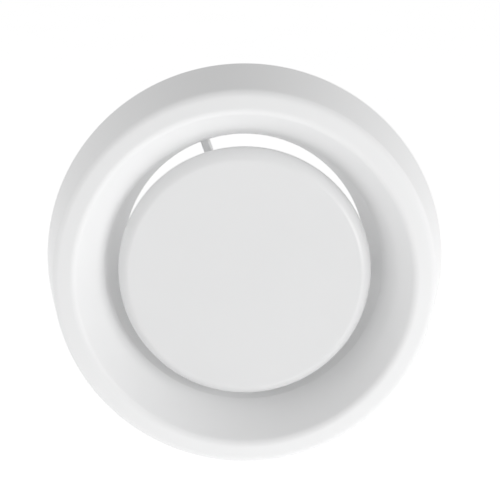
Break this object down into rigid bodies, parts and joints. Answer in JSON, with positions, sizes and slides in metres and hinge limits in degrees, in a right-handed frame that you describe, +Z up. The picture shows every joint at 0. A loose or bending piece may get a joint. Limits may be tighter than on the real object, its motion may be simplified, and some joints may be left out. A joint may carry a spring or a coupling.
{
  "type": "disc valve",
  "caption": "Round white disc valve for a duct end: a flared ring with a spigot and bridge, and a disc that screws in and out of its throat to set the air flow.",
  "frame": {"origin": "on the valve's axis, in the plane of the skirt's back edge, where the valve meets the wall", "axes": "+Y along the axis into the duct, -Y out of the front, +Z up"},
  "size_m": [0.17, 0.0886, 0.17],
  "materials": {
    "ring_plastic": "smooth moulded, glossy white",
    "disc_plastic": "smooth moulded, satin white",
    "stem_plastic": "moulded thread, natural white",
    "screw_steel": "bright zinc",
    "nut_plastic": "moulded, natural white",
    "seal_foam": "cut closed-cell foam"
  },
  "bodies": {
    "ring": {"valve_ring": "ring_plastic", "foam_seal": "seal_foam"},
    "stem": {"stem": "stem_plastic"},
    "disc": {"disc": "disc_plastic", "stem_screw": "screw_steel"},
    "lock_nut": {"lock_nut": "nut_plastic"}
  },
  "joints": [
    {"name": "stem_travel", "type": "slide", "parent": "ring", "child": "stem", "axis": [0, 1, 0], "range_m": [-0.0121, 0.0271]},
    {"name": "disc_turn", "type": "hinge", "parent": "stem", "child": "disc", "pos_m": [0, -0.0195, 0], "axis": [0, 1, 0], "range_deg": [-1080, 2430]},
    {"name": "lock_nut_turn", "type": "hinge", "parent": "ring", "child": "lock_nut", "pos_m": [0, 0.0325, 0], "axis": [0, 1, 0], "range_deg": [0, 90]}
  ],
  "couplings": [
    {"joint": "stem_travel", "follows": "disc_turn", "m_per_rad": 0.00063662}
  ]
}
